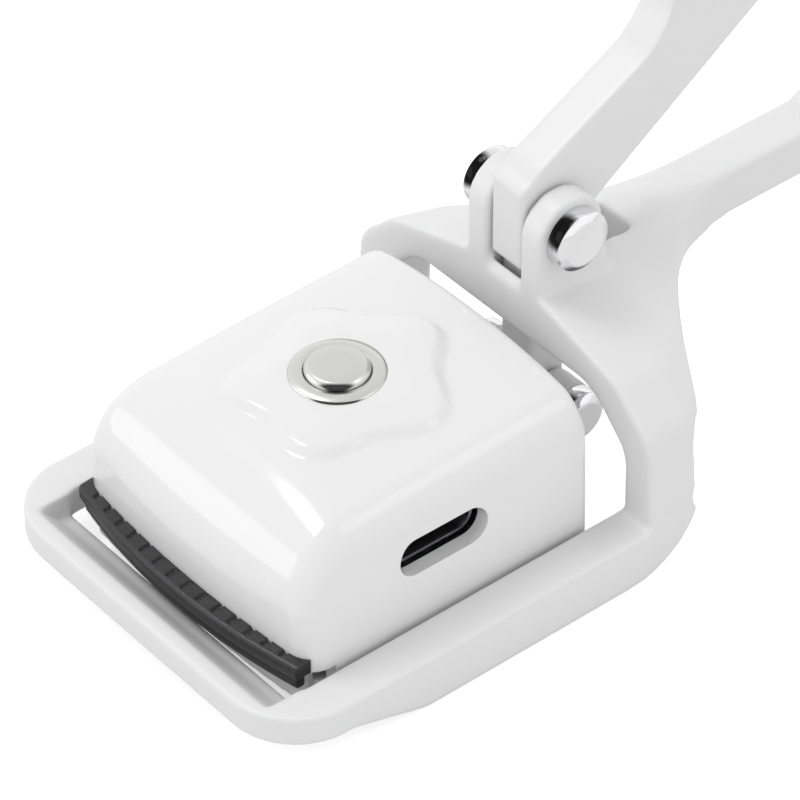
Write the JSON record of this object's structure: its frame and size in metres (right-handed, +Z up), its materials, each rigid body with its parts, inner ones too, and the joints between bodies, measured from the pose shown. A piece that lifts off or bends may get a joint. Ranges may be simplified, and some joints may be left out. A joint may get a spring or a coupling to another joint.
{
  "type": "eyelash curler",
  "caption": "Heated, rechargeable eyelash curler: a moulded frame with a finger loop, a hinged lever with a second loop, and a sliding head with a comb, a power button and a charging port.",
  "frame": {"origin": "bottom centre of the whole object's box", "axes": "+X to the object's right, +Y from the lash bar to the finger loops, +Z up; the underside of the frame's arms is z = 0"},
  "size_m": [0.041, 0.108, 0.074],
  "materials": {
    "frame_plastic": "satin",
    "lever_plastic": "satin",
    "head_plastic": "gloss",
    "base_plastic": "matte",
    "chrome": "mirror",
    "satin_metal": "satin with mirror bevels",
    "steel": "plain",
    "port_metal": "satin",
    "port_tongue": "matte",
    "comb_plastic": "satin",
    "pad_silicone": "matte",
    "heater_metal": "plain",
    "board": "solder mask",
    "chip": "matte",
    "led": "gloss",
    "cell_wrap": "foil",
    "tape": "foam",
    "lead_red": "insulation",
    "lead_black": "insulation"
  },
  "bodies": {
    "frame": {"frame": "frame_plastic", "pivot_pin": "steel", "pivot_cap_right": "chrome", "pivot_cap_left": "chrome"},
    "lever": {"lever": "lever_plastic"},
    "head": {"head_shell": "head_plastic", "head_base": "base_plastic", "base_screws": "steel", "board_screws": "steel", "button_ring": "satin_metal", "tact_switch": "steel", "circuit_board": "board", "usb_shell": "port_metal", "usb_tongue": "port_tongue", "battery": "cell_wrap", "battery_tape": "tape", "battery_lead_red": "lead_red", "battery_lead_black": "lead_black", "heater_leads": "lead_red", "control_chips": "chip", "status_led": "led", "heater_plate": "heater_metal", "thermistor": "chip", "heating_pad": "pad_silicone", "comb": "comb_plastic", "link_pin": "steel", "link_cap_right": "chrome", "link_cap_left": "chrome"},
    "button": {"power_button": "satin_metal", "switch_plunger": "chip"}
  },
  "joints": [
    {"name": "lever_pivot", "type": "hinge", "parent": "frame", "child": "lever", "pos_m": [0, -0.0092, 0.0272], "axis": [-1, 0, 0], "range_deg": [-7, 1.75]},
    {"name": "head_slide", "type": "slide", "parent": "frame", "child": "head", "axis": [0, -1, 0], "range_m": [-0.00237, 0.00059]},
    {"name": "button_press", "type": "slide", "parent": "head", "child": "button", "axis": [0, 0, -1], "range_m": [0, 0.0005], "stiffness_N_per_m": 300, "springref_m": -0.0005}
  ],
  "couplings": [
    {"joint": "head_slide", "follows": "lever_pivot", "m_per_rad": 0.0194}
  ]
}
